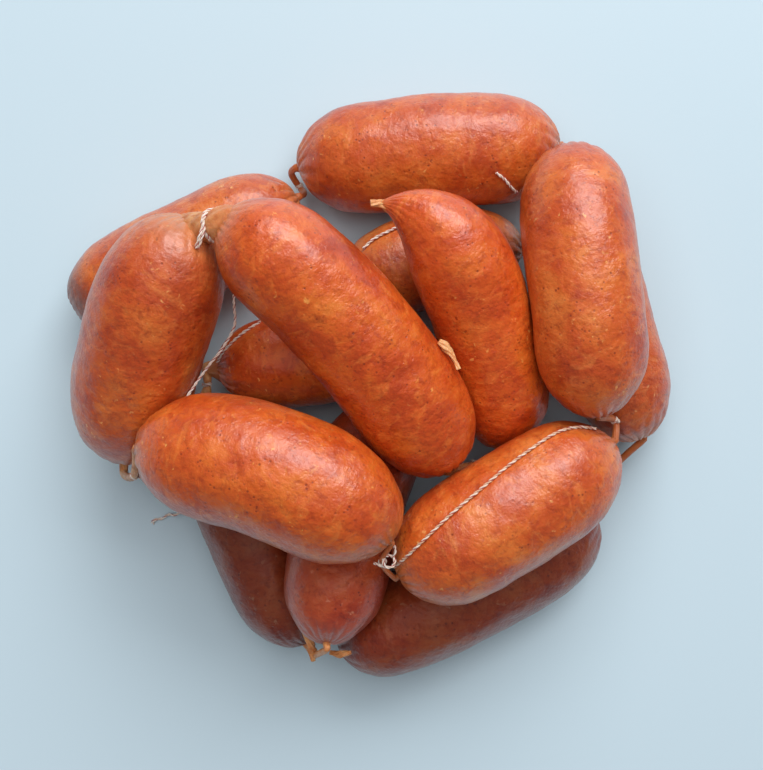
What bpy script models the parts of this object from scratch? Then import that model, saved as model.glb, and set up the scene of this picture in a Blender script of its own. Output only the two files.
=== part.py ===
"""String of sausage links in a heap: fourteen plump links in tied casing.

Two lengths of linked casing, eight links and six, lie wound together in a three-high heap.
Metres, +Z up, the heap stands on z = 0 on the flats under its lowest links.
"""
import math

import bmesh
import bpy
import numpy as np

MM = 0.001
GAP = 0.3  # clear space between two pieces that touch, mm
SIDES = 18  # facets round a link
RINGS = 13  # rings from tip to tip of a link
BALLS = 61  # samples along a link's spine
SAG = 1.2  # how far a link sags on to the floor, mm
TWINE = 0.5  # twine radius, mm
CASING = 1.7  # radius of a twisted casing neck where it is tied, mm
FLARE = 3.2  # radius of a neck where it leaves a link, mm

# Each link: tail tip, middle and head tip of its spine, girth radius,
# and how slowly each tip fills out (1 = a round end, 1.6 = a pointed one). All mm.
LINKS = {
    "link_a": ((-30, 79, 15), (17, 83.5, 19.5), (63.5, 85, 18), 20.4, 0.98, 0.92),
    "link_b": ((65.5, 80, 35), (67, 34.5, 52), (73.5, -9.8, 44), 19.3, 0.95, 1.0),
    "link_c": ((-1.5, 59.5, 59.5), (28, 38, 49), (45, -23, 24), 17.8, 1.75, 1.1),
    "link_d": ((-52, 53, 69), (-12, 21, 62), (22.7, -27.7, 41.5), 19.4, 1.05, 0.95),
    "link_e": ((-62, 54, 57), (-79.5, 16.5, 47), (-92, -24.5, 21.5), 21.3, 0.95, 1.0),
    "link_f": ((-79, -22, 52), (-34, -29, 63), (2.5, -50.5, 64), 21.8, 0.93, 0.97),
    "link_g": ((5.5, -64, 50), (42.5, -43, 48), (79.5, -19.5, 37.5), 20.7, 0.97, 1.06),
    "link_h": ((-110, 28, 17), (-71, 47.7, 17.5), (-30.8, 68, 15), 18.3, 0.9, 0.97),
    "link_i": ((-15, 33, 16.5), (20, 46, 16.5), (52, 49, 12), 17.5, 1.1, 1.1),
    "link_j": ((-61, 6, 15), (-24, 9.5, 17), (6, 14, 21), 17.0, 1.1, 1.15),
    "link_k": ((-63, -6, 16), (-47, -52, 16.5), (-27, -94, 16), 17.2, 1.1, 1.05),
    "link_l": ((-18.5, -87, 45.5), (-11, -46, 29), (4, -4, 14), 18.5, 0.97, 1.1),
    "link_m": ((-16, -94, 16.5), (27, -76.5, 18), (77.5, -47.5, 12.5), 18.2, 1.0, 0.97),
    "link_n": ((74, 57, 13), (81, 20, 17), (94, -19, 16), 18.0, 1.0, 0.95),
}

# Each neck: the two link ends it joins, the spot of its tie, and any spots it is led past.
NECKS = {
    "neck_cd": (("link_d", 1), ("link_c", 1), (33.5, -28.5, 22), (), ()),
    "neck_de": (("link_d", 0), ("link_e", 0), (-57.5, 54.8, 64.3), (), ()),
    "neck_ef": (("link_e", 1), ("link_f", 0), (-85, -31, 38), ((-92, -32, 21),), ()),
    "neck_fg": (("link_f", 1), ("link_g", 0), (0.0, -58.0, 58.5), (), ()),
    "neck_gb": (("link_g", 1), ("link_b", 1), (80.8, -12.3, 35), (), ()),
    "neck_ba": (("link_b", 0), ("link_a", 1), (69.5, 79, 21.5), (), ()),
    "neck_ah": (("link_a", 0), ("link_h", 1), (-30.5, 73.5, 6.5), ((-33, 77.5, 11),), ((-28.5, 70.5, 9.5),)),
    "neck_lk": (("link_l", 0), ("link_k", 1), (-23.5, -94, 33), (), ()),
    "neck_kj": (("link_k", 0), ("link_j", 0), (-63, 0, 16), (), ()),
    "neck_ji": (("link_j", 1), ("link_i", 0), (-3, 24, 4.6), ((12.5, 19, 11),), ((-19, 27, 7),)),
    "neck_in": (("link_i", 1), ("link_n", 0), (62.5, 55.5, 7.5), (), ()),
    "neck_nm": (("link_n", 1), ("link_m", 1), (84, -32, 10), (), ()),
}


def unit(v):
    """The vector at length one."""
    v = np.asarray(v, float)
    return v / np.linalg.norm(v)


def spine(name):
    """Points along a link's bent centre line, their arc lengths and tangents."""
    tail, middle, head = (np.array(p, float) for p in LINKS[name][:3])
    pull = 2 * middle - (tail + head) / 2
    t = np.linspace(0, 1, BALLS)[:, None]
    points = (1 - t) ** 2 * tail + 2 * t * (1 - t) * pull + t**2 * head
    tangents = (1 - t) * (pull - tail) + t * (head - pull)
    tangents /= np.linalg.norm(tangents, axis=1)[:, None]
    steps = np.linalg.norm(np.diff(points, axis=0), axis=1)
    return points, np.concatenate([[0], np.cumsum(steps)]), tangents


def fullness(name, arc):
    """Radius of the largest ball that fits in the link at each point of its spine."""
    radius, tail_taper, head_taper = LINKS[name][3:]
    near_tail = np.maximum(arc, 1e-6) / (tail_taper * radius)
    near_head = np.maximum(arc[-1] - arc, 1e-6) / (head_taper * radius)
    return radius * (near_tail**-8.0 + near_head**-8.0 + 1) ** (-1 / 8.0)


def outline(arc, balls, at):
    """Half-width of the link at one point along its spine."""
    inside = balls**2 - (arc - at) ** 2
    return math.sqrt(max(inside.max(), 0.0))


def depth(spots, points, balls):
    """Distance of each spot from a link's skin, less than zero inside."""
    away = np.linalg.norm(spots[:, None, :] - points[None, :, :], axis=2)
    return (away - balls[None, :]).min(axis=1)


def link_skin(name, index):
    """Plump shape of one link, before its neighbours press on it."""
    points, arc, tangents = spine(name)
    balls = fullness(name, arc)
    mesh = bmesh.new()
    bmesh.ops.create_uvsphere(mesh, u_segments=SIDES, v_segments=RINGS, radius=1.0)
    centres = []
    spots = []
    for vert in mesh.verts:
        polar = math.acos(max(-1.0, min(1.0, vert.co.z)))
        around = math.atan2(vert.co.y, vert.co.x)
        at = arc[-1] * (0.5 + 0.5 * math.cos(polar))
        centre = np.array([np.interp(at, arc, points[:, k]) for k in range(3)])
        along = unit([np.interp(at, arc, tangents[:, k]) for k in range(3)])
        side = unit(np.cross((0, 0, 1), along))
        top = np.cross(along, side)
        width = outline(arc, balls, at)
        width *= 1 + 0.012 * math.sin(5.0 * at / 19 + index) - 0.012
        width *= 1 + 0.012 * math.cos(2 * around + 1.7 * index) - 0.012
        spots.append(centre + width * (math.cos(around) * side + math.sin(around) * top))
        centres.append(centre)
    return mesh, np.array(centres), np.array(spots)


def pressed(name, centres, spots):
    """The link's skin drawn in where a neighbour or the floor leans on it."""
    own_points, own_arc, _ = spine(name)
    own = (own_points, fullness(name, own_arc))
    reach = np.ones(len(spots))
    for other in LINKS:
        if other == name:
            continue
        points, arc, _ = spine(other)
        balls = fullness(other, arc)
        overlap = (GAP + depth(spots, *own) - depth(spots, points, balls)) / 2
        sink = 0.5 * np.log1p(np.exp(np.clip(overlap / 0.5, -30, 30)))
        width = np.linalg.norm(spots - centres, axis=1) + 1e-9
        soft = np.clip(1 - sink / width, 0.05, 1)
        low, high = np.zeros(len(spots)), soft
        for _ in range(22):
            half = (low + high) / 2
            trial = centres + half[:, None] * (spots - centres)
            clear = depth(trial, points, balls) - depth(trial, *own) >= 2 * GAP
            low, high = np.where(clear, half, low), np.where(clear, high, half)
        trial = centres + soft[:, None] * (spots - centres)
        clear = depth(trial, points, balls) - depth(trial, *own) >= 2 * GAP
        reach = np.minimum(reach, np.where(clear, soft, low))
    moved = centres + reach[:, None] * (spots - centres)
    moved[:, 2] = np.where(moved[:, 2] < SAG, 0.0, moved[:, 2])
    return moved


def material(name, colour, roughness):
    """A plain surface for one kind of sub-part."""
    made = bpy.data.materials.new(name)
    made.use_nodes = True
    shader = made.node_tree.nodes["Principled BSDF"]
    shader.inputs["Base Color"].default_value = (*colour, 1)
    shader.inputs["Roughness"].default_value = roughness
    return made


def place(obj, surface, heap):
    """Puts an object in the heap's collection with its own surface."""
    obj.data.materials.append(surface)
    for holder in list(obj.users_collection):
        holder.objects.unlink(obj)
    heap.objects.link(obj)
    return obj


def link(name, index, surface, heap):
    """One sausage link as a closed skin."""
    mesh, centres, spots = link_skin(name, index)
    for vert, spot in zip(mesh.verts, pressed(name, centres, spots)):
        vert.co = spot * MM
    data = bpy.data.meshes.new(name)
    mesh.to_mesh(data)
    mesh.free()
    data.shade_smooth()
    return place(bpy.data.objects.new(name, data), surface, heap)


def strand(name, path, widths, surface, heap, sides=1):
    """A round strand of changing width through the path's points, closed at both ends."""
    curve = bpy.data.curves.new(name, "CURVE")
    curve.dimensions = "3D"
    curve.bevel_depth = MM
    curve.bevel_resolution = sides
    curve.use_fill_caps = True
    run = curve.splines.new("POLY")
    run.points.add(len(path) - 1)
    for point, spot, width in zip(run.points, path, widths):
        point.co = (*(np.asarray(spot, float) * MM), 1)
        point.radius = width
    return place(bpy.data.objects.new(name, curve), surface, heap)


def rounded(path, count):
    """Evenly spaced points on a smooth line through the path's points."""
    path = np.array(path, float)
    ends = np.vstack([2 * path[0] - path[1], path, 2 * path[-1] - path[-2]])
    fine = []
    for i in range(1, len(ends) - 2):
        a, b, c, d = ends[i - 1 : i + 3]
        for t in np.linspace(0, 1, 12, endpoint=False):
            fine.append(
                0.5 * (2 * b + (c - a) * t + (2 * a - 5 * b + 4 * c - d) * t**2
                       + (3 * b - a - 3 * c + d) * t**3)
            )
    fine = np.array(fine + [path[-1]])
    arc = np.concatenate([[0], np.cumsum(np.linalg.norm(np.diff(fine, axis=0), axis=1))])
    at = np.linspace(0, arc[-1], count)
    return np.stack([np.interp(at, arc, fine[:, k]) for k in range(3)], 1)


def tip(name, end):
    """A link's tip and the way it points."""
    points, _, tangents = spine(name)
    return (points[-1], tangents[-1]) if end else (points[0], -tangents[0])


def neck_path(name):
    """Points from one link's tip through the tie to the next link's tip, and which one is tied."""
    first, second, tied, before, after = NECKS[name]
    start, out = tip(*first)
    finish, back = tip(*second)
    path = [start + 1.5 * out, start + 2.6 * out, *before, tied]
    path += [*after, finish + 2.6 * back, finish + 1.5 * back]
    span = sum(math.dist(a, b) for a, b in zip(path, path[1:]))
    points = rounded(path, max(7, min(12, round(span / 2.4))))
    near = np.linalg.norm(points - np.array(tied, float), axis=1)
    near[[0, -1]] = 99
    return points, int(near.argmin())


def neck(name, surface, heap):
    """Twisted casing between two links."""
    points, tied = neck_path(name)
    from_start = np.linalg.norm(points - points[0], axis=1)
    from_finish = np.linalg.norm(points - points[-1], axis=1)
    to_tie = np.linalg.norm(points - points[tied], axis=1)
    widths = CASING + (FLARE - CASING) * np.exp(-((np.minimum(from_start, from_finish) / 2.2) ** 2))
    widths = np.where(to_tie < 3.6, CASING, widths)
    return strand(name, points, widths, surface, heap)


def tie(name, surface, heap):
    """Twine drawn tight round a neck."""
    points, tied = neck_path(name)
    along = unit(points[tied + 1] - points[tied - 1])
    side = unit(np.cross(along, (0.3, 0.2, 1)))
    up = np.cross(along, side)
    bpy.ops.mesh.primitive_torus_add(
        major_segments=10,
        minor_segments=5,
        major_radius=(CASING + 2 * GAP + 1.2 * TWINE) * MM,
        minor_radius=1.2 * TWINE * MM,
    )
    ring = bpy.context.object
    ring.name = ring.data.name = name.replace("neck", "tie")
    for vert in ring.data.vertices:
        x, y, z = vert.co / MM
        vert.co = (points[tied] + x * side + y * up + z * along) * MM
    ring.data.shade_smooth()
    return place(ring, surface, heap)


def laid_on(name, plan):
    """Points resting on top of a link at the given x and y."""
    points, arc, _ = spine(name)
    balls = fullness(name, arc)
    spots = []
    for x, y in plan:
        rise = (balls + TWINE + GAP) ** 2 - (points[:, 0] - x) ** 2 - (points[:, 1] - y) ** 2
        tops = np.where(rise > 0, points[:, 2] + np.sqrt(np.maximum(rise, 0)), -1)
        spots.append((x, y, max(tops.max(), TWINE + 0.2)))
    return spots


def twine_runs(surface, heap):
    """The slack lengths of twine that lead from tie to tie, and the cut ends."""
    over_g = laid_on("link_g", [(9, -58), (13, -50.5), (22.8, -40.8), (33.2, -32.4), (41, -26.2),
                                (49.4, -20.4), (57.8, -15.6), (65, -14), (72, -14.6)])
    strand("twine_g", rounded(over_g, 22), [TWINE] * 22, surface, heap)
    beside_e = [(-54.5, 49, 63), (-52.6, 44, 60), (-49, 35, 56), (-49, 27, 52), (-49.5, 20, 47),
                (-53, 13, 44), (-57, 5, 42), (-61, -2, 41.5), (-65, -8, 41)]
    strand("twine_e", rounded(beside_e, 22), [TWINE] * 22, surface, heap)
    over_j = laid_on("link_j", [(-43, 22.5), (-47, 20), (-51.5, 16.5), (-55.5, 12.5), (-59, 8)])
    strand("twine_j", rounded(over_j, 10), [TWINE] * 10, surface, heap)
    over_i = laid_on("link_i", [(-6.5, 48), (-2.5, 51.5), (3, 54.3), (9, 57)])
    strand("twine_i", rounded(over_i, 9), [TWINE] * 9, surface, heap)
    on_e = laid_on("link_e", [(-58.5, 50.6), (-59.1, 48.4), (-59.2, 44)])
    on_e = [(x, y, z + GAP) for x, y, z in on_e]
    strand("cut_end_de", rounded(on_e, 6), [0.9, 0.9, 0.8, 0.8, 0.8, 0.7], surface, heap)
    on_a = laid_on("link_a", [(39.6, 73.2), (42.7, 71.2), (45, 69.2), (47.6, 67.6)])
    strand("cut_end_a", rounded(on_a, 8), [TWINE] * 8, surface, heap)
    floor = [(-86, -52, 0.8), (-84.6, -50.4, 0.8), (-82, -50, 0.9), (-80, -48.5, 1.5), (-77.5, -48.6, 2.6),
             (-75, -47.4, 4)]
    strand("cut_end_f", rounded(floor, 9), [TWINE] * 9, surface, heap)


def casing_tails(surface, heap):
    """Short dried ends of casing left past the outer ties."""
    strand("tail_c", rounded([(-2.6, 59.3, 59.8), (-4.6, 59, 60.5)], 4), [1.6, 1.3, 1.1, 1.2], surface, heap)
    knot = [(18.6, 14.2, 61.5), (20.6, 12.6, 61), (22.4, 10.4, 61), (24, 7.6, 61.4), (25, 5, 62)]
    strand("tail_d", rounded(knot, 9), [1.0, 1.7, 1.8, 1.0, 0.7, 0.7, 0.7, 0.9, 0.7], surface, heap)
    low = [(-28, -91, 34), (-28.5, -94.5, 31.5), (-27, -98.5, 32)]
    strand("tail_l", rounded(low, 6), [1.0, 1.3, 1.2, 1.5, 1.7, 1.2], surface, heap)
    flat = [(-18, -93, 33.5), (-14.5, -93.4, 34.5), (-10.5, -92.4, 36)]
    strand("tail_m", rounded(flat, 5), [0.8, 1.3, 1.5, 1.2, 0.6], surface, heap)


def stand_on_floor(heap):
    """Moves the heap so that the middle of its footprint is over the origin, on the floor."""
    bpy.context.view_layer.update()
    graph = bpy.context.evaluated_depsgraph_get()
    spots = []
    for obj in heap.objects:
        mesh = obj.evaluated_get(graph).to_mesh()
        spots += [tuple(vert.co) for vert in mesh.vertices]
        obj.evaluated_get(graph).to_mesh_clear()
    spots = np.array(spots)
    low, high = spots.min(axis=0), spots.max(axis=0)
    shift = (-(low[0] + high[0]) / 2, -(low[1] + high[1]) / 2, -low[2])
    for obj in heap.objects:
        obj.location = shift


def build():
    """The whole heap."""
    for obj in list(bpy.data.objects):
        bpy.data.objects.remove(obj, do_unlink=True)
    heap = bpy.data.collections.new("sausage_string")
    bpy.context.scene.collection.children.link(heap)
    meat = material("cured_casing", (0.52, 0.15, 0.05), 0.4)
    twisted = material("twisted_casing", (0.62, 0.36, 0.16), 0.5)
    cotton = material("bakers_twine", (0.8, 0.7, 0.66), 0.9)
    for index, name in enumerate(LINKS):
        link(name, index, meat, heap)
    for name in NECKS:
        neck(name, twisted, heap)
        tie(name, cotton, heap)
    twine_runs(cotton, heap)
    casing_tails(twisted, heap)
    stand_on_floor(heap)


build()
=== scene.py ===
"""Looks of the string of sausage links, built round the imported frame.

Each link is re-skinned at high resolution with the lumps, creases and gathered ends
of a cured casing. Necks, ties, twine and casing tails are modelled strand by strand.
"""
import math

import bpy
import numpy as np
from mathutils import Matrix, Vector, noise


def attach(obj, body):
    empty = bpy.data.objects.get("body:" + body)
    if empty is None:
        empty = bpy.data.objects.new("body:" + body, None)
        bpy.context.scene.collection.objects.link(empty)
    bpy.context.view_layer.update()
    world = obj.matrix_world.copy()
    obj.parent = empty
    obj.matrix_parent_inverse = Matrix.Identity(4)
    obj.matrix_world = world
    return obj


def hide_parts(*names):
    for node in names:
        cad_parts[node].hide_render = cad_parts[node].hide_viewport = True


MM = 0.001
SHIFT = np.array([4.421, 0.186, 0.0])  # from the heap's layout to the frame, mm
GAP = 0.3  # clear space between two links that touch, mm
SAG = 1.2  # how far a link sags on to the floor, mm
BALLS = 61  # samples along a link's spine
BLUNT = 8.0  # how abruptly a link's ends fill out to its full girth
PRESS = 0.8  # how softly a link gives where a neighbour leans on it, mm
NEIGHBOUR = 6.0  # half the space beyond which a neighbour isn't felt, mm
COARSE_RINGS, COARSE_SIDES = 49, 40  # the grid on which the links are pressed together
TWINE = 0.5  # twine radius, mm
NECK_SIDES = 44  # facets round a neck
NECK_TWIST = 0.9  # turn of a neck's pleats, radians for each mm

# Each link: tail tip, middle and head tip of its spine, girth radius,
# and how slowly each tip fills out. All mm, in the heap's layout.
LINKS = {
    "link_a": ((-30, 79, 15), (17, 83.5, 19.5), (63.5, 85, 18), 20.4, 0.98, 0.92),
    "link_b": ((65.5, 80, 35), (67, 34.5, 52), (73.5, -9.8, 44), 19.3, 0.95, 1.0),
    "link_c": ((-1.5, 59.5, 59.5), (28, 38, 49), (45, -23, 24), 17.8, 1.75, 1.1),
    "link_d": ((-52, 53, 69), (-12, 21, 62), (22.7, -27.7, 41.5), 19.4, 1.05, 0.95),
    "link_e": ((-62, 54, 57), (-79.5, 16.5, 47), (-92, -24.5, 21.5), 21.3, 0.95, 1.0),
    "link_f": ((-79, -22, 52), (-34, -29, 63), (2.5, -50.5, 64), 21.8, 0.93, 0.97),
    "link_g": ((5.5, -64, 50), (42.5, -43, 48), (79.5, -19.5, 37.5), 20.7, 0.97, 1.06),
    "link_h": ((-110, 28, 17), (-71, 47.7, 17.5), (-30.8, 68, 15), 18.3, 0.9, 0.97),
    "link_i": ((-15, 33, 16.5), (20, 46, 16.5), (52, 49, 12), 17.5, 1.1, 1.1),
    "link_j": ((-61, 6, 15), (-24, 9.5, 17), (6, 14, 21), 17.0, 1.1, 1.15),
    "link_k": ((-63, -6, 16), (-47, -52, 16.5), (-27, -94, 16), 17.2, 1.1, 1.05),
    "link_l": ((-18.5, -87, 45.5), (-11, -46, 29), (4, -4, 14), 18.5, 0.97, 1.1),
    "link_m": ((-16, -94, 16.5), (27, -76.5, 18), (77.5, -47.5, 12.5), 18.2, 1.0, 0.97),
    "link_n": ((74, 57, 13), (81, 20, 17), (94, -19, 16), 18.0, 1.0, 0.95),
}

# Each neck: the two link ends it joins (0 = tail, 1 = head), the spot of its tie,
# and any spots it is led past before and after the tie.
NECKS = {
    "neck_cd": (("link_d", 1), ("link_c", 1), (33.5, -28.5, 22), (), ()),
    "neck_de": (("link_d", 0), ("link_e", 0), (-53.6, 51.0, 66.6), (), ()),
    "neck_ef": (("link_e", 1), ("link_f", 0), (-85, -31, 38), ((-92, -32, 21),), ()),
    "neck_fg": (("link_f", 1), ("link_g", 0), (0.0, -58.0, 58.5), (), ()),
    "neck_gb": (("link_g", 1), ("link_b", 1), (80.8, -12.3, 35), (), ()),
    "neck_ba": (("link_b", 0), ("link_a", 1), (69.5, 79, 21.5), (), ()),
    "neck_ah": (
        ("link_a", 0), ("link_h", 1), (-30.5, 73.5, 6.5), ((-33, 77.5, 11),), ((-28.5, 70.5, 9.5),),
    ),
    "neck_lk": (("link_l", 0), ("link_k", 1), (-23.5, -94, 33), (), ()),
    "neck_kj": (("link_k", 0), ("link_j", 0), (-63, 0, 16), (), ()),
    "neck_ji": (("link_j", 1), ("link_i", 0), (-3, 24, 4.6), ((12.5, 19, 11),), ((-19, 27, 7),)),
    "neck_in": (("link_i", 1), ("link_n", 0), (62.5, 55.5, 7.5), (), ()),
    "neck_nm": (("link_n", 1), ("link_m", 1), (84, -32, 10), (), ()),
}

# Depth and reach of the gathers at a link's end, mm, where they aren't the usual ones.
USUAL_GATHER = (0.8, 7.0)
GATHERS = {
    ("link_h", 0): (0.25, 4.0),
    ("link_c", 0): (0.5, 9.0),
    ("link_e", 0): (0.4, 8.0),
    ("link_d", 0): (0.4, 6.0),
    ("link_l", 0): (0.5, 4.5),
    ("link_j", 0): (1.1, 8.0),
    ("link_f", 1): (0.5, 6.0),
    ("link_g", 0): (0.6, 6.0),
}
# Strength and reach of the thin pale skin at a link's end, mm, where it isn't the usual.
USUAL_PALE = (0.45, 3.5)
PALE = {
    ("link_e", 0): (0.85, 8.0),
    ("link_d", 0): (0.8, 5.0),
    ("link_l", 0): (0.7, 3.5),
    ("link_c", 0): (0.8, 3.0),
    ("link_h", 0): (0.0, 3.0),
}


# ---------------------------------------------------------------- spines and skins
def unit(v):
    """The vector at length one."""
    v = np.asarray(v, float)
    return v / np.linalg.norm(v)


def spine(name):
    """Points along a link's bent centre line, their arc lengths and tangents."""
    tail, middle, head = (np.array(p, float) for p in LINKS[name][:3])
    pull = 2 * middle - (tail + head) / 2
    t = np.linspace(0, 1, BALLS)[:, None]
    points = (1 - t) ** 2 * tail + 2 * t * (1 - t) * pull + t**2 * head
    tangents = (1 - t) * (pull - tail) + t * (head - pull)
    tangents /= np.linalg.norm(tangents, axis=1)[:, None]
    steps = np.linalg.norm(np.diff(points, axis=0), axis=1)
    return points, np.concatenate([[0], np.cumsum(steps)]), tangents


def fullness(name, arc):
    """Radius of the largest ball that fits in the link at each point of its spine."""
    radius, tail_taper, head_taper = LINKS[name][3:]
    near_tail = np.maximum(arc, 1e-6) / (tail_taper * radius)
    near_head = np.maximum(arc[-1] - arc, 1e-6) / (head_taper * radius)
    return radius * (near_tail**-BLUNT + near_head**-BLUNT + 1) ** (-1 / BLUNT)


SPINES = {name: spine(name) for name in LINKS}
BALL = {name: fullness(name, SPINES[name][1]) for name in LINKS}


def depth(spots, name):
    """Distance of each spot from a link's skin, less than zero inside."""
    points, balls = SPINES[name][0], BALL[name]
    away = np.linalg.norm(spots[:, None, :] - points[None, :, :], axis=2)
    return (away - balls[None, :]).min(axis=1)


def skin_grid(name, rings, sides):
    """Centres, unpressed skin and half-widths of a link on a pole-to-pole grid."""
    points, arc, tangents = SPINES[name]
    balls = BALL[name]
    polar = np.linspace(0, math.pi, rings)
    at = arc[-1] * (0.5 - 0.5 * np.cos(polar))
    centre = np.stack([np.interp(at, arc, points[:, k]) for k in range(3)], 1)
    along = np.stack([np.interp(at, arc, tangents[:, k]) for k in range(3)], 1)
    along /= np.linalg.norm(along, axis=1)[:, None]
    side = np.cross((0, 0, 1), along)
    side /= np.linalg.norm(side, axis=1)[:, None]
    top = np.cross(along, side)
    width = np.sqrt(np.maximum((balls[None] ** 2 - (arc[None] - at[:, None]) ** 2).max(1), 0))
    width[[0, -1]] = 0
    around = np.linspace(0, 2 * math.pi, sides, endpoint=False)
    out = np.cos(around)[None, :, None] * side[:, None] + np.sin(around)[None, :, None] * top[:, None]
    spots = centre[:, None] + width[:, None, None] * out
    return centre, spots, width


def pressed(name, centres, spots):
    """The skin drawn in where a neighbour leans on it."""
    own = depth(spots, name)
    reach = np.ones(len(spots))
    width = np.linalg.norm(spots - centres, axis=1) + 1e-9
    for other in LINKS:
        if other == name:
            continue
        overlap = (GAP + own - depth(spots, other)) / 2
        near = overlap > -NEIGHBOUR
        if not near.any():
            continue
        c, s, w = centres[near], spots[near], width[near]
        sink = PRESS * np.log1p(np.exp(np.clip(overlap[near] / PRESS, -30, 30)))
        soft = np.clip(1 - sink / w, 0.05, 1)
        low, high = np.zeros(len(s)), soft
        for _ in range(16):
            half = (low + high) / 2
            trial = c + half[:, None] * (s - c)
            clear = depth(trial, other) - depth(trial, name) >= GAP
            low, high = np.where(clear, half, low), np.where(clear, high, half)
        trial = c + soft[:, None] * (s - c)
        clear = depth(trial, other) - depth(trial, name) >= GAP
        reach[near] = np.minimum(reach[near], np.where(clear, soft, low))
    return centres + reach[:, None] * (spots - centres)


def spline_weights(count_in, count_out, periodic):
    """Cubic B-spline weights that refine one direction of a grid."""
    if periodic:
        at = np.arange(count_out) * count_in / count_out
    else:
        at = np.linspace(0, count_in - 1, count_out)
    base = np.floor(at).astype(int)
    base = base if periodic else np.minimum(base, count_in - 2)
    t = at - base
    parts = [
        (1 - t) ** 3 / 6,
        (3 * t**3 - 6 * t**2 + 4) / 6,
        (-3 * t**3 + 3 * t**2 + 3 * t + 1) / 6,
        t**3 / 6,
    ]
    total = count_in if periodic else count_in + 2
    weights = np.zeros((count_out, total))
    for k, part in enumerate(parts):
        column = (base + k - 1) % count_in if periodic else base + k
        np.add.at(weights, (np.arange(count_out), column), part)
    return weights


def refine(grid, rings, sides):
    """A smooth, denser copy of a pole-to-pole grid, which runs on over each pole."""
    half = grid.shape[1] // 2
    grown = np.concatenate([np.roll(grid[1:2], half, 1), grid, np.roll(grid[-2:-1], half, 1)])
    dense = np.einsum("ij,jkl->ikl", spline_weights(len(grid), rings, False), grown)
    return np.einsum("ij,kjl->kil", spline_weights(grid.shape[1], sides, True), dense)


def normals_of(grid):
    """Unit normals of a pole-to-pole grid."""
    half = grid.shape[1] // 2
    grown = np.concatenate([np.roll(grid[1:2], half, 1), grid, np.roll(grid[-2:-1], half, 1)])
    down = grown[2:] - grown[:-2]
    across = np.roll(grid, -1, 1) - np.roll(grid, 1, 1)
    out = np.cross(across, down)
    out /= np.linalg.norm(out, axis=2)[:, :, None] + 1e-12
    for row, near in ((0, 1), (-1, -2)):
        out[row] = unit(out[near].mean(0))
    return out


# ---------------------------------------------------------------- relief
def fbm(spots, size, octaves, seed):
    """Soft random relief, about -1 to 1, with features of the given size in mm."""
    offset = Vector((seed * 17.3, seed * 7.9, seed * 3.1))
    return np.array([noise.fractal(Vector(p) / size + offset, 1.0, 2.1, octaves) for p in spots])


def link_relief(name, index, at, around, width, length):
    """Height of the skin over its smooth form, in mm, at each point of a link's grid."""
    rings, sides = len(at), len(around)
    a = np.repeat(at, sides)
    phi = np.tile(around, rings)
    w = np.repeat(width, sides)
    flat = np.stack([a, w * np.cos(phi), w * np.sin(phi)], 1)
    # fbm takes the size of the features in mm, the number of octaves and a seed
    height = 0.60 * fbm(flat, 23, 2, index) + 0.26 * fbm(flat, 9, 2, index + 40)
    # shallow dents where meat has shrunk from the skin
    dent = fbm(flat, 13, 1, index + 60)
    height -= 0.45 * np.clip(dent - 0.30, 0, 1)
    # short creases round the link, in patches
    patch = np.clip(fbm(flat, 17, 2, index + 80) * 2.0 + 0.35, 0, 1)
    crease = fbm(flat * (1.0, 0.38, 0.38), 2.3, 2, index + 120)
    height -= 0.13 * patch * np.abs(crease)
    height += 0.05 * fbm(flat, 1.5, 2, index + 140)
    # gathers run lengthwise into each tied end
    for end, from_end in ((0, a), (1, length - a)):
        deep, reach = GATHERS.get((name, end), USUAL_GATHER)
        gather = np.exp(-((from_end / reach) ** 1.5))
        folds = 15 + (index + 3 * end) % 5
        wander = 1.6 * fbm(flat, 8, 1, index + 160 + end)
        pleat = np.abs(np.sin(0.5 * folds * phi + wander + 0.1 * from_end)) - 0.6
        height += deep * gather * pleat * np.clip(w / 7, 0.04, 1)
    return height


# ---------------------------------------------------------------- mesh helpers
def new_object(name, verts, faces, surface):
    """One smooth-shaded mesh in the scene."""
    data = bpy.data.meshes.new(name)
    data.from_pydata([tuple(v) for v in verts], [], faces)
    data.update()
    data.shade_smooth()
    obj = bpy.data.objects.new(name, data)
    bpy.context.scene.collection.objects.link(obj)
    data.materials.append(surface)
    return obj


def grid_object(name, grid, surface, values=None):
    """A closed pole-to-pole grid as one mesh.

    values is {attribute name: number for each grid point}.
    """
    rings, sides = grid.shape[:2]
    inner = grid[1:-1].reshape(-1, 3)
    verts = np.concatenate([grid[0, :1], inner, grid[-1, :1]]) + SHIFT
    faces = []
    for i in range(rings - 3):
        low, high = 1 + i * sides, 1 + (i + 1) * sides
        for j in range(sides):
            k = (j + 1) % sides
            faces.append((low + j, low + k, high + k, high + j))
    last = 1 + (rings - 3) * sides
    faces += [(0, 1 + (j + 1) % sides, 1 + j) for j in range(sides)]
    faces += [(last + j, last + (j + 1) % sides, len(verts) - 1) for j in range(sides)]
    obj = new_object(name, verts * MM, faces, surface)
    for key, value in (values or {}).items():
        value = value.reshape(rings, sides)
        flat = np.concatenate([value[0, :1], value[1:-1].reshape(-1), value[-1, :1]])
        layer = obj.data.attributes.new(key, "FLOAT", "POINT")
        layer.data.foreach_set("value", flat.astype(np.float32))
    return obj


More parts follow.
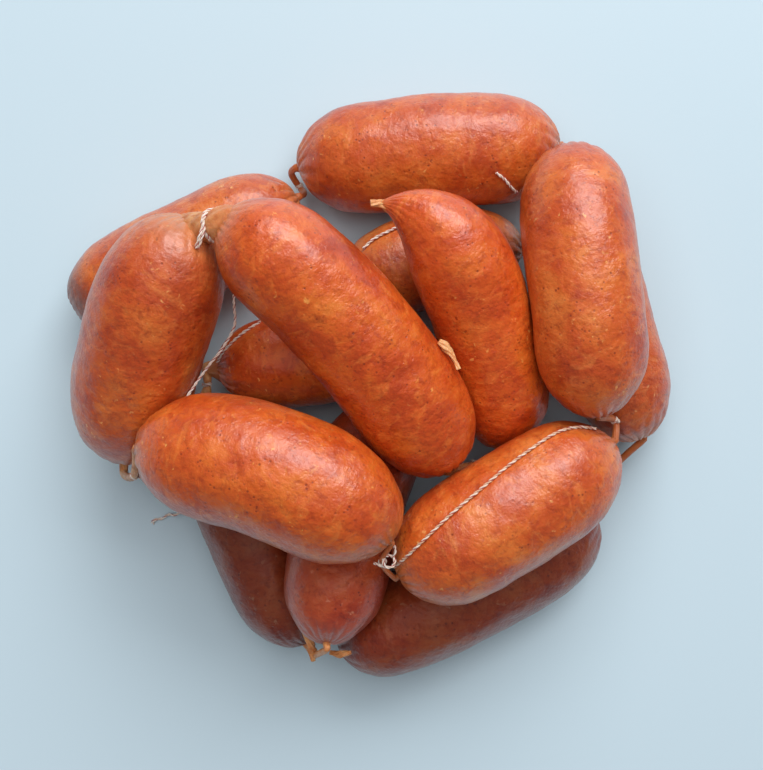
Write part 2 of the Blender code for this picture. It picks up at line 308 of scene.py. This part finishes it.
def smooth_line(path, step):
    """Evenly spaced points on a smooth line through the path's points."""
    path = np.array(path, float)
    ends = np.vstack([2 * path[0] - path[1], path, 2 * path[-1] - path[-2]])
    fine = []
    for i in range(1, len(ends) - 2):
        a, b, c, d = ends[i - 1 : i + 3]
        for t in np.linspace(0, 1, 16, endpoint=False):
            fine.append(
                0.5 * (2 * b + (c - a) * t + (2 * a - 5 * b + 4 * c - d) * t**2
                       + (3 * b - a - 3 * c + d) * t**3)
            )
    fine = np.array(fine + [path[-1]])
    arc = np.concatenate([[0], np.cumsum(np.linalg.norm(np.diff(fine, axis=0), axis=1))])
    at = np.linspace(0, arc[-1], max(4, int(arc[-1] / step) + 1))
    return np.stack([np.interp(at, arc, fine[:, k]) for k in range(3)], 1), at


def frames_along(points):
    """Tangent, side and up at each point, turning as little as possible."""
    tangents = np.gradient(points, axis=0)
    tangents /= np.linalg.norm(tangents, axis=1)[:, None] + 1e-12
    side = unit(np.cross(tangents[0], (0.31, 0.22, 0.93)))
    sides = []
    for tangent in tangents:
        side = unit(side - tangent * side.dot(tangent))
        sides.append(side)
    sides = np.array(sides)
    return tangents, sides, np.cross(tangents, sides)


class Tubes:
    """Gathers closed tubes into one mesh, each with its own material slot."""

    def __init__(self):
        self.verts, self.faces, self.slots = [], [], []

    def add(self, points, widths, count=7, slot=0, shape=None):
        _, side, up = frames_along(points)
        around = np.linspace(0, 2 * math.pi, count, endpoint=False)
        widths = np.broadcast_to(widths, (len(points),))
        reach = widths[:, None] * (np.ones(count) if shape is None else shape)
        rings = points[:, None] + reach[..., None] * (
            np.cos(around)[None, :, None] * side[:, None] + np.sin(around)[None, :, None] * up[:, None]
        )
        base = sum(len(v) for v in self.verts)
        self.verts.append(np.concatenate([rings.reshape(-1, 3), points[:1], points[-1:]]))
        faces = []
        for i in range(len(points) - 1):
            low, high = base + i * count, base + (i + 1) * count
            for j in range(count):
                k = (j + 1) % count
                faces.append((low + j, low + k, high + k, high + j))
        first, last = base + len(points) * count, base + len(points) * count + 1
        top = base + (len(points) - 1) * count
        faces += [(first, base + (j + 1) % count, base + j) for j in range(count)]
        faces += [(last, top + j, top + (j + 1) % count) for j in range(count)]
        self.faces += faces
        self.slots += [slot] * len(faces)

    def build(self, name, surfaces):
        verts = (np.concatenate(self.verts) + SHIFT) * MM
        obj = new_object(name, verts, self.faces, surfaces[0])
        for surface in surfaces[1:]:
            obj.data.materials.append(surface)
        obj.data.polygons.foreach_set("material_index", self.slots)
        return obj


def ply(tubes, path, radius, pitch=4.2, phase=0.0, fray=0.0):
    """Two-ply twine: two strands round each other, with one thin thread between.

    The tubes' material slots 0, 1 and 2 are the two strands and the thread.
    """
    points, at = smooth_line(path, 0.3)
    _, side, up = frames_along(points)
    wobble = 0.05 * radius * np.sin(at * 1.7 + phase)
    # where round the twine each strand starts, and its distance out and thickness in radii
    strands = ((0.0, 0.5, 0.56), (math.pi, 0.5, 0.56), (math.pi / 2, 0.78, 0.2))
    for k, (turn, away, thick) in enumerate(strands):
        angle = 2 * math.pi * at / pitch + turn + phase
        spread = 1 + fray * np.clip((at - at[-1] + 2.2) / 2.2, 0, 1) * (1.2 + 0.5 * k)
        offset = radius * away * spread + wobble
        line = points + offset[:, None] * (
            np.cos(angle)[:, None] * side + np.sin(angle)[:, None] * up
        )
        end = np.clip((at[-1] - at) / (radius * 0.8), 0.25, 1) ** 0.5
        tubes.add(line, radius * thick * end, 7, k)


# ---------------------------------------------------------------- materials
def shader(name):
    """A new material, its node tree and its principled shader."""
    made = bpy.data.materials.new(name)
    made.use_nodes = True
    tree = made.node_tree
    return made, tree, tree.nodes["Principled BSDF"]


class Nodes:
    """Short calls for building a node tree."""

    def __init__(self, tree):
        self.tree = tree

    def add(self, kind, **settings):
        node = self.tree.nodes.new(kind)
        for key, value in settings.items():
            setattr(node, key, value)
        return node

    def link(self, start, end):
        self.tree.links.new(start, end)

    def noise(self, where, scale, detail=3.0, rough=0.55, distort=0.0):
        node = self.add("ShaderNodeTexNoise")
        node.inputs["Scale"].default_value = scale
        node.inputs["Detail"].default_value = detail
        node.inputs["Roughness"].default_value = rough
        node.inputs["Distortion"].default_value = distort
        self.link(where, node.inputs["Vector"])
        return node.outputs["Fac"]

    def cells(self, where, scale):
        node = self.add("ShaderNodeTexVoronoi")
        node.inputs["Scale"].default_value = scale
        self.link(where, node.inputs["Vector"])
        return node.outputs["Distance"]

    def ramp(self, value, stops):
        node = self.add("ShaderNodeValToRGB")
        while len(node.color_ramp.elements) < len(stops):
            node.color_ramp.elements.new(0.5)
        for element, (at, colour) in zip(node.color_ramp.elements, stops):
            element.position = at
            element.color = (*colour, 1)
        self.link(value, node.inputs["Fac"])
        return node.outputs["Color"]

    def span(self, value, low, high, to_low=0.0, to_high=1.0):
        node = self.add("ShaderNodeMapRange")
        limits = {"From Min": low, "From Max": high, "To Min": to_low, "To Max": to_high}
        for key, number in limits.items():
            node.inputs[key].default_value = number
        self.link(value, node.inputs["Value"])
        return node.outputs["Result"]

    def math(self, kind, a, b):
        node = self.add("ShaderNodeMath", operation=kind)
        for socket, value in zip(node.inputs, (a, b)):
            if isinstance(value, (int, float)):
                socket.default_value = value
            else:
                self.link(value, socket)
        return node.outputs[0]

    def mix(self, fac, a, b, kind="MIX"):
        node = self.add("ShaderNodeMix", data_type="RGBA", blend_type=kind)
        for key, value in (("Factor", fac), ("A", a), ("B", b)):
            socket = node.inputs[key]
            if isinstance(value, (int, float)):
                socket.default_value = value
            elif isinstance(value, tuple):
                socket.default_value = (*value, 1)
            else:
                self.link(value, socket)
        return node.outputs["Result"]

    def bump(self, height, distance, strength=1.0, normal=None):
        node = self.add("ShaderNodeBump")
        node.inputs["Strength"].default_value = strength
        node.inputs["Distance"].default_value = distance
        self.link(height, node.inputs["Height"])
        if normal is not None:
            self.link(normal, node.inputs["Normal"])
        return node.outputs["Normal"]


def attribute(nodes, name, output="Fac"):
    """One of the mesh's own values at each point."""
    return nodes.add("ShaderNodeAttribute", attribute_name=name).outputs[output]


def casing_material(name, tint_and_shade):
    """Cured sausage casing: mottled orange-brown meat and fat seen through a thin glossy skin."""
    made, tree, base = shader(name)
    n = Nodes(tree)
    where = n.add("ShaderNodeTexCoord").outputs["Object"]
    skin = attribute(n, "skin", "Vector")
    broad = n.noise(where, 62, 5.0, 0.62, 0.4)
    colour = n.ramp(broad, [
        (0.29, (0.380, 0.042, 0.006)),
        (0.42, (0.500, 0.068, 0.009)),
        (0.53, (0.580, 0.100, 0.012)),
        (0.63, (0.630, 0.138, 0.018)),
        (0.76, (0.670, 0.200, 0.034)),
    ])
    # the ground meat, in grains of lean and fat a few millimetres across
    lean = n.span(n.noise(where, 330, 4.0, 0.68, 0.8), 0.50, 0.68)
    colour = n.mix(n.math("MULTIPLY", lean, 0.55), colour, (0.270, 0.024, 0.006))
    fatty = n.span(n.noise(skin, 230, 4.0, 0.66, 1.0), 0.52, 0.70)
    colour = n.mix(n.math("MULTIPLY", fatty, 0.45), colour, (0.760, 0.230, 0.045))
    fat = n.span(n.noise(where, 480, 2.0, 0.5, 0.4), 0.66, 0.74)
    fat = n.math("MULTIPLY", fat, n.span(n.noise(where, 90, 2.0), 0.50, 0.58))
    colour = n.mix(n.math("MULTIPLY", fat, 0.60), colour, (0.840, 0.420, 0.110))
    # paprika specks and pinprick pits
    speck_cells = n.cells(where, 520)
    speck = n.span(speck_cells, 0.25, 0.12)
    speck = n.math("MULTIPLY", speck, n.span(n.noise(where, 150, 2.0), 0.50, 0.62))
    colour = n.mix(n.math("MULTIPLY", speck, 0.70), colour, (0.150, 0.016, 0.008))
    # thin yellowish skin where the ends are drawn together
    gathered = attribute(n, "gathered")
    colour = n.mix(n.math("MULTIPLY", gathered, 0.80), colour, (0.600, 0.270, 0.095))
    # a dried, bare end
    patches = n.span(n.noise(where, 420, 4.0, 0.7), 0.35, 0.55, 0.55, 1.0)
    dried = n.math("MULTIPLY", attribute(n, "dried"), patches)
    colour = n.mix(dried, colour, (0.190, 0.050, 0.024))
    # multiplied by the link's tint; for K, L and M this darkening is painted shade
    colour = n.mix(1.0, colour, tint_and_shade, "MULTIPLY")
    n.link(colour, base.inputs["Base Color"])
    n.link(n.span(n.noise(where, 240, 4.0), 0.3, 0.7, 0.30, 0.45), base.inputs["Roughness"])
    base.inputs["Specular IOR Level"].default_value = 0.75
    base.inputs["Coat Weight"].default_value = 0.50
    base.inputs["Coat Roughness"].default_value = 0.27
    base.inputs["Subsurface Weight"].default_value = 0.10
    base.inputs["Subsurface Radius"].default_value = (1.0, 0.30, 0.12)
    base.inputs["Subsurface Scale"].default_value = 0.0025
    # micro-wrinkles of the casing, pits and grain
    wrinkle = n.math("MULTIPLY", n.noise(skin, 280, 4.0, 0.6, 0.8), 0.55)
    uneven = n.noise(where, 230, 3.0, 0.55)
    fine = n.math("MULTIPLY", n.noise(where, 900, 3.0, 0.6), 0.28)
    first = n.bump(n.math("ADD", n.math("ADD", wrinkle, uneven), fine), 0.0008, 0.85)
    pits = n.span(speck_cells, 0.05, 0.30)
    n.link(n.bump(pits, 0.00012, 0.6, first), base.inputs["Normal"])
    return made


def neck_material():
    """Dry twisted casing, tan and a little translucent, orange where meat still fills it."""
    made, tree, base = shader("twisted_casing_skin")
    n = Nodes(tree)
    where = n.add("ShaderNodeTexCoord").outputs["Object"]
    colour = n.ramp(n.noise(where, 300, 4.0, 0.6), [
        (0.30, (0.400, 0.130, 0.042)),
        (0.50, (0.640, 0.270, 0.100)),
        (0.70, (0.760, 0.430, 0.200)),
    ])
    filled = n.math("MULTIPLY", attribute(n, "filled"), 0.85)
    colour = n.mix(filled, colour, (0.500, 0.125, 0.035))
    n.link(colour, base.inputs["Base Color"])
    n.link(n.span(n.noise(where, 700, 3.0), 0.3, 0.7, 0.34, 0.52), base.inputs["Roughness"])
    base.inputs["Coat Weight"].default_value = 0.2
    base.inputs["Coat Roughness"].default_value = 0.25
    base.inputs["Subsurface Weight"].default_value = 0.3
    base.inputs["Subsurface Radius"].default_value = (1.0, 0.50, 0.22)
    base.inputs["Subsurface Scale"].default_value = 0.002
    n.link(n.bump(n.noise(where, 1100, 4.0, 0.65), 0.0003, 0.8), base.inputs["Normal"])
    return made


def twine_material(name, low, high):
    """Cotton twine with fine lengthwise fibres."""
    made, tree, base = shader(name)
    n = Nodes(tree)
    where = n.add("ShaderNodeTexCoord").outputs["Object"]
    n.link(n.ramp(n.noise(where, 1500, 4.0, 0.7), [(0.3, low), (0.7, high)]), base.inputs["Base Color"])
    n.link(n.span(n.noise(where, 2500, 2.0), 0.3, 0.7, 0.75, 0.95), base.inputs["Roughness"])
    base.inputs["Sheen Weight"].default_value = 0.25
    n.link(n.bump(n.noise(where, 3200, 3.0, 0.7), 0.00012, 0.9), base.inputs["Normal"])
    return made


def floor_material():
    """Plain pale floor, with hardly any change of tone."""
    made, tree, base = shader("studio_floor")
    n = Nodes(tree)
    where = n.add("ShaderNodeTexCoord").outputs["Object"]
    tones = [(0.2, (0.490, 0.620, 0.705)), (0.8, (0.505, 0.635, 0.720))]
    n.link(n.ramp(n.noise(where, 3.0, 2.0), tones), base.inputs["Base Color"])
    base.inputs["Roughness"].default_value = 0.55
    return made


# ---------------------------------------------------------------- build
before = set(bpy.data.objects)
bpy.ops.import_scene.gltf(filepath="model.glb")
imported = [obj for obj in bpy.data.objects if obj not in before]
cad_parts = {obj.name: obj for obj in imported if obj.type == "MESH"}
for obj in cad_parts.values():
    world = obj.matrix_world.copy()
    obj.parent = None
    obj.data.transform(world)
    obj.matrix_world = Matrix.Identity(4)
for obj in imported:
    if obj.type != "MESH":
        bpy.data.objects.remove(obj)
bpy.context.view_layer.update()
RINGS, SIDES = ((184, 146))  # the grid of a finished link

# What each link's colour is multiplied by. The lowest three, K, L and M, are darker than the rest:
# painted shade for the shadow the links above cast on them.
TINTS_AND_SHADE = {
    "link_a": (0.98, 1.02, 1.25), "link_b": (1.0, 1.05, 1.3), "link_c": (1.04, 0.92, 0.85),
    "link_d": (1.04, 0.96, 0.85), "link_e": (0.95, 0.98, 1.25), "link_f": (1.04, 1.06, 1.0),
    "link_g": (1.0, 1.08, 1.3), "link_h": (0.97, 1.15, 1.6), "link_i": (0.95, 1.15, 1.8),
    "link_j": (1.1, 1.05, 1.2), "link_k": (0.38, 0.36, 0.80), "link_l": (0.68, 0.54, 1.2),
    "link_m": (0.42, 0.39, 0.85), "link_n": (0.95, 1.08, 1.8),
}
twisted = neck_material()
white_ply = twine_material("cotton_white", (0.72, 0.62, 0.55), (0.92, 0.86, 0.80))
cream_ply = twine_material("cotton_cream", (0.62, 0.45, 0.36), (0.86, 0.74, 0.64))
tan_ply = twine_material("cotton_tan", (0.50, 0.26, 0.15), (0.78, 0.52, 0.36))
red_ply = twine_material("cotton_red", (0.36, 0.03, 0.03), (0.52, 0.07, 0.06))
TWINE_SET = (white_ply, cream_ply, red_ply)
TAN_TWINE_SET = (cream_ply, tan_ply, red_ply)


def settle(piece, node):
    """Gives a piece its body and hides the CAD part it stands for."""
    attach(piece, "root")
    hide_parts(node)


def make_link(name, index):
    """One sausage link: pressed in by its neighbours, refined and given its relief."""
    centre, spots, width = skin_grid(name, COARSE_RINGS, COARSE_SIDES)
    flat = pressed(name, np.repeat(centre, COARSE_SIDES, 0), spots.reshape(-1, 3))
    flat[:, 2] = np.where(flat[:, 2] < SAG, 0, flat[:, 2])
    grid = refine(flat.reshape(COARSE_RINGS, COARSE_SIDES, 3), RINGS, SIDES)
    length = SPINES[name][1][-1]
    polar = np.linspace(0, math.pi, RINGS)
    at = length * (0.5 - 0.5 * np.cos(polar))
    around = np.linspace(0, 2 * math.pi, SIDES, endpoint=False)
    width = np.interp(polar, np.linspace(0, math.pi, COARSE_RINGS), width)
    relief = link_relief(name, index, at, around, width, length).reshape(RINGS, SIDES)
    relief[0], relief[-1] = relief[0].mean(), relief[-1].mean()
    out = normals_of(grid)
    middle = RINGS // 2
    if (out[middle] * (grid[middle] - grid[middle].mean(0))).sum() < 0:
        out = -out
    grid = grid + (relief - 0.1)[..., None] * out
    grid[..., 2] = np.maximum(grid[..., 2], 0.0)
    pale = np.zeros(RINGS)
    for end, from_end in ((0, at), (1, length - at)):
        strong, reach = PALE.get((name, end), USUAL_PALE)
        pale = np.maximum(pale, strong * np.exp(-((from_end / reach) ** 1.6)))
    # link_h alone ends in a dried, bare tip
    dry = 0.9 * np.exp(-((at / 9.0) ** 4)) if name == "link_h" else 0 * at
    piece = grid_object(
        "skin_" + name[-1], grid, casing_material("casing_" + name[-1], TINTS_AND_SHADE[name]),
        {"gathered": np.repeat(pale, SIDES), "dried": np.repeat(dry, SIDES)},
    )
    across = width[:, None] * np.stack([np.cos(around), np.sin(around)])[:, None, :]
    skin = np.stack([np.repeat(at[:, None], SIDES, 1), 0.5 * across[0], 0.5 * across[1]], 2) * MM
    skin = np.concatenate([skin[0, :1], skin[1:-1].reshape(-1, 3), skin[-1, :1]])
    layer = piece.data.attributes.new("skin", "FLOAT_VECTOR", "POINT")
    layer.data.foreach_set("vector", skin.astype(np.float32).ravel())
    settle(piece, name)


def tip(name, end):
    """A link's tip and the way it points."""
    points, _, tangents = SPINES[name]
    return (points[-1], tangents[-1]) if end else (points[0], -tangents[0])


# Necks tucked between links, as full of meat as the ends beside them.
OUT_OF_SIGHT = (
    "neck_fg", "neck_gb", "neck_ah", "neck_in", "neck_nm", "neck_ba", "neck_cd", "neck_ji",
)


def neck_line(name):
    """Points along a neck, their distances along it, and which one is tied."""
    first, second, tied, before, after = NECKS[name]
    start, out = tip(*first)
    finish, back = tip(*second)
    # how far past the link's tip the neck's first points lie, mm
    reach = (-3.0, 0.5, 2.4)
    if name == "neck_de":
        reach = (-8.0, -4.5)
    elif name in OUT_OF_SIGHT:
        reach = (-3.0, 0.3, 1.2)
    path = [start + step * out for step in reach] + [*before, tied, *after]
    path += [finish + step * back for step in reversed(reach)]
    points, at = smooth_line(path, 0.35)
    near = int(np.linalg.norm(points - np.array(tied, float), axis=1).argmin())
    return points, at, near


# Least radius, swell and reach of a neck's swell towards its links, mm,
# where they aren't the usual ones.
USUAL_SWELL = (1.45, 3.6, 4.0)
SWELL = {
    "neck_de": (4.9, 1.8, 8.0),
    "neck_ah": (1.2, 1.6, 2.6),
    "neck_nm": (1.2, 1.6, 2.6),
    "neck_gb": (1.2, 1.8, 2.6),
    "neck_in": (1.2, 1.8, 2.6),
    "neck_fg": (0.85, 1.0, 2.2),
    "neck_lk": (1.1, 1.5, 2.4),
}


def make_neck(name, index):
    """Twisted, pleated casing between two links, and its tie."""
    points, at, near = neck_line(name)
    around = np.linspace(0, 2 * math.pi, NECK_SIDES, endpoint=False)
    from_end = np.minimum(at, at[-1] - at)
    least, swell, reach = SWELL.get(name, USUAL_SWELL)
    widths = least + swell * np.exp(-((from_end / reach) ** 1.7))
    to_tie = np.abs(at - at[near])
    pinch = 0.12 if name == "neck_de" else 0.36
    widths *= 1 - pinch * np.exp(-((to_tie / 0.9) ** 2))
    twist = NECK_TWIST * (at - at[near])
    folds = 8 + index % 3
    shape = 1 + 0.10 * np.abs(np.sin(0.5 * folds * around[None] + 0.6 * twist[:, None] + index))
    shape += 0.03 * np.sin(3 * around[None] - 0.6 * twist[:, None] + 2 * index) - 0.06
    tubes = Tubes()
    tubes.add(points, widths, NECK_SIDES, 0, shape)
    piece = tubes.build("twist" + name[4:], [twisted])
    meat_reach = 8.0 if name == "neck_de" else 3.4
    filled = np.repeat(np.exp(-((from_end / meat_reach) ** 2)), NECK_SIDES)
    if name in OUT_OF_SIGHT:
        filled = np.ones_like(filled)
    layer = piece.data.attributes.new("filled", "FLOAT", "POINT")
    # the two points that close the tube's ends come last
    layer.data.foreach_set("value", np.append(filled, (1, 1)).astype(np.float32))
    settle(piece, name)
    make_tie(name.replace("neck", "tie"), points, near, widths[near], index)


def make_tie(node, points, near, held, index):
    """Twine wound round the neck, drawn tight, with a small knot at its side."""
    tangents, side, up = frames_along(points)
    centre, along, s, u = points[near], tangents[near], side[near], up[near]
    turns, thick = (2.0, 0.55) if node == "tie_de" else (2.3, 0.40)
    angle = np.linspace(0, 2 * math.pi * turns, int(20 * turns))
    reach = held + 0.8 * thick
    rise = np.linspace(-0.6, 0.6, len(angle)) + 0.25 * np.sin(angle + index)
    turned = np.cos(angle)[:, None] * s + np.sin(angle)[:, None] * u
    coil = centre + rise[:, None] * along + reach * turned
    tubes = Tubes()
    ply(tubes, coil, thick, 3.4, index)
    knot_out = math.cos(0.8 + index) * s + math.sin(0.8 + index) * u
    knot_at = centre + (reach + 0.3) * knot_out
    cross = np.cross(along, knot_out)
    bow = [knot_at + 0.5 * (math.cos(t) * along + math.sin(t) * cross) + 0.1 * t * knot_out
           for t in np.linspace(0, 2 * math.pi, 9)]
    ply(tubes, bow, 0.85 * thick, 2.8, index)
    if node == "tie_fg":
        # the free loop and the short end left over from the knot between F and G
        loop = [(2.4 + 1.9 * math.cos(t), -57.2 + 1.9 * math.sin(t), 61.5 + 0.7 * math.cos(t + 1))
                for t in np.linspace(-0.6, 5.9, 14)]
        ply(tubes, loop, 0.50, 3.6, 0.5)
        ply(tubes, [(2.5, -59.2, 61), (0.2, -58.9, 60.8), (-2.6, -57.8, 60.6)], 0.45, 3.6, 1.0)
        ply(tubes, [(3.6, -56, 61.6), (4.4, -54, 62.6), (4.2, -51.8, 63.4)], 0.42, 3.6, 2.0)
    settle(tubes.build("wound" + node[3:], TWINE_SET), node)


def laid_on(name, plan):
    """Points for twine resting on top of a link at the given x and y."""
    points, balls = SPINES[name][0], BALL[name]
    spots = []
    for x, y in plan:
        rise = (balls + TWINE) ** 2 - (points[:, 0] - x) ** 2 - (points[:, 1] - y) ** 2
        tops = np.where(rise > 0, points[:, 2] + np.sqrt(np.maximum(rise, 0)), -1)
        spots.append((x, y, max(tops.max(), TWINE + 0.1)))
    return spots


def make_twine():
    """The slack lengths of twine that lead from tie to tie, and the cut ends."""
    runs = {
        "twine_g": laid_on("link_g", [(4.0, -60.2), (7.8, -55.8), (13.4, -49.8), (22.8, -40.8),
                                      (33.2, -32.4), (41, -26.2), (49.4, -20.4), (57.8, -15.6),
                                      (65, -14), (72, -14.6)]),
        "twine_e": [(-54.5, 49, 63), (-52.6, 44, 60), (-49, 35, 56), (-49, 27, 52), (-49.5, 20, 47),
                    (-53.5, 13, 44.5), (-59, 6, 44), (-63.2, -0.5, 46.5), (-65.8, -5, 49)],
        "twine_j": laid_on("link_j", [(-43, 22.5), (-47, 20), (-51.5, 16.5), (-55.5, 12.5), (-59, 8)]),
        "twine_i": laid_on("link_i", [(-6.5, 48), (-2.5, 51.5), (3, 54.3), (9, 57)]),
        "cut_end_a": laid_on("link_a", [(39.6, 73.2), (42.7, 71.2), (45, 69.2), (47.6, 67.6)]),
        "cut_end_f": [(-75, -47.4, 4), (-77.5, -48.6, 2.6), (-80, -48.5, 1.5), (-82, -50, 0.9),
                      (-84.6, -50.4, 0.8), (-86, -52, 0.8)],
    }
    for index, (node, path) in enumerate(runs.items()):
        tubes = Tubes()
        ply(tubes, path, TWINE, 4.2, index, 0.0 if node.startswith("twine") else 0.6)
        strands = TAN_TWINE_SET if node == "twine_g" else TWINE_SET
        piece = tubes.build("strand_" + node[-1] + str(index), strands)
        settle(piece, node)
    # the two ends of the D-E tie, side by side on the neck
    tubes = Tubes()
    beside_tie = np.array([(-56.3, 49.6, 71.2), (-57.2, 46.8, 71.2), (-58.7, 43.4, 69.2)])
    ply(tubes, beside_tie + (0.45, 0, 0), 0.45, 5.0, 0.4, 0.2)
    ply(tubes, beside_tie + (-0.45, 0.1, 0.05), 0.45, 5.0, 1.9, 0.2)
    settle(tubes.build("strand_double", TWINE_SET), "cut_end_de")


def make_tails():
    """Short dried ends of casing left past the ties: each a path and its thicknesses along it."""
    tails = {
        "tail_c": ([(3, 58, 58.4), (-0.5, 59.2, 59.5), (-3.6, 59.1, 60.2)], [2.3, 1.5, 1.35]),
        "tail_d": ([(18.6, 14.2, 61.5), (20.6, 12.6, 61), (22.4, 10.4, 61), (24, 7.6, 61.4), (25, 5, 62)],
                   [1.0, 1.9, 1.1, 0.7, 0.9]),
        "tail_l": ([(-27, -84.3, 40), (-24.6, -88.6, 38.2), (-23.9, -92, 36), (-23.6, -95.6, 35)],
                   [0.6, 1.3, 1.9, 0.9]),
        "tail_m": ([(-18, -93, 33.5), (-14.5, -93.4, 34.5), (-10.5, -92.4, 36)], [0.8, 1.5, 0.7]),
    }
    for index, (node, (path, thick)) in enumerate(tails.items()):
        points, at = smooth_line(path, 0.2)
        widths = np.interp(at, np.linspace(0, at[-1], len(thick)), thick)
        sides = 28
        around = np.linspace(0, 2 * math.pi, sides, endpoint=False)
        shape = 1 + 0.22 * np.sin(5 * around[None] + at[:, None] * 1.3 + index)
        shape *= np.where(np.cos(2 * around)[None] > 0, 1.0, 0.72)
        tubes = Tubes()
        tubes.add(points, widths * 0.8, sides, 0, shape)
        settle(tubes.build("dried_tail_" + node[-1], [twisted]), node)


for number, link_name in enumerate(LINKS):
    make_link(link_name, number)
for number, neck_name in enumerate(NECKS):
    make_neck(neck_name, number)
make_twine()
make_tails()

# ---------------------------------------------------------------- stage, light, camera
FLOOR_DROP = 0.0002  # space that keeps the floor's surface off the links' flats, m
CAMERA_HEIGHT = 0.45  # straight above the heap, m
LENS = 56.0  # mm, with a sensor 36 mm wide

bpy.ops.mesh.primitive_plane_add(size=6, location=(0, 0, -FLOOR_DROP))
floor = bpy.context.object
floor.name = "studio_floor"
floor.data.materials.append(floor_material())


def area(name, where, aim, size, power, colour):
    """A rectangular lamp that faces the spot it is aimed at."""
    lamp = bpy.data.lights.new(name, "AREA")
    lamp.shape = "RECTANGLE"
    lamp.size, lamp.size_y = size
    lamp.energy = power
    lamp.color = colour
    obj = bpy.data.objects.new(name, lamp)
    bpy.context.scene.collection.objects.link(obj)
    obj.location = where
    obj.rotation_euler = (Vector(aim) - Vector(where)).to_track_quat("-Z", "Y").to_euler()
    return obj


area("window", (0.55, 1.65, 1.45), (0, 0, 0.03), (1.90, 1.30), 42.0, (1.0, 0.985, 0.97))
ceiling = area("ceiling", (0.0, 0.50, 1.75), (0, 0, 0), (2.0, 2.0), 30.0, (1.0, 0.98, 0.96))
ceiling.visible_glossy = False  # only the window shows as a highlight

world = bpy.data.worlds.new("studio")
bpy.context.scene.world = world
world.use_nodes = True
sky = world.node_tree.nodes["Background"]
sky.inputs["Color"].default_value = (0.88, 0.94, 1.0, 1)
sky.inputs["Strength"].default_value = 0.12

lens = bpy.data.cameras.new("camera")
lens.lens = LENS
lens.sensor_width = 36.0
lens.sensor_fit = "AUTO"
camera = bpy.data.objects.new("camera", lens)
bpy.context.scene.collection.objects.link(camera)
camera.location = (SHIFT[0] * MM, SHIFT[1] * MM, CAMERA_HEIGHT)
camera.rotation_euler = (0, 0, 0)
bpy.context.scene.camera = camera
bpy.context.scene.view_settings.view_transform = "Standard"
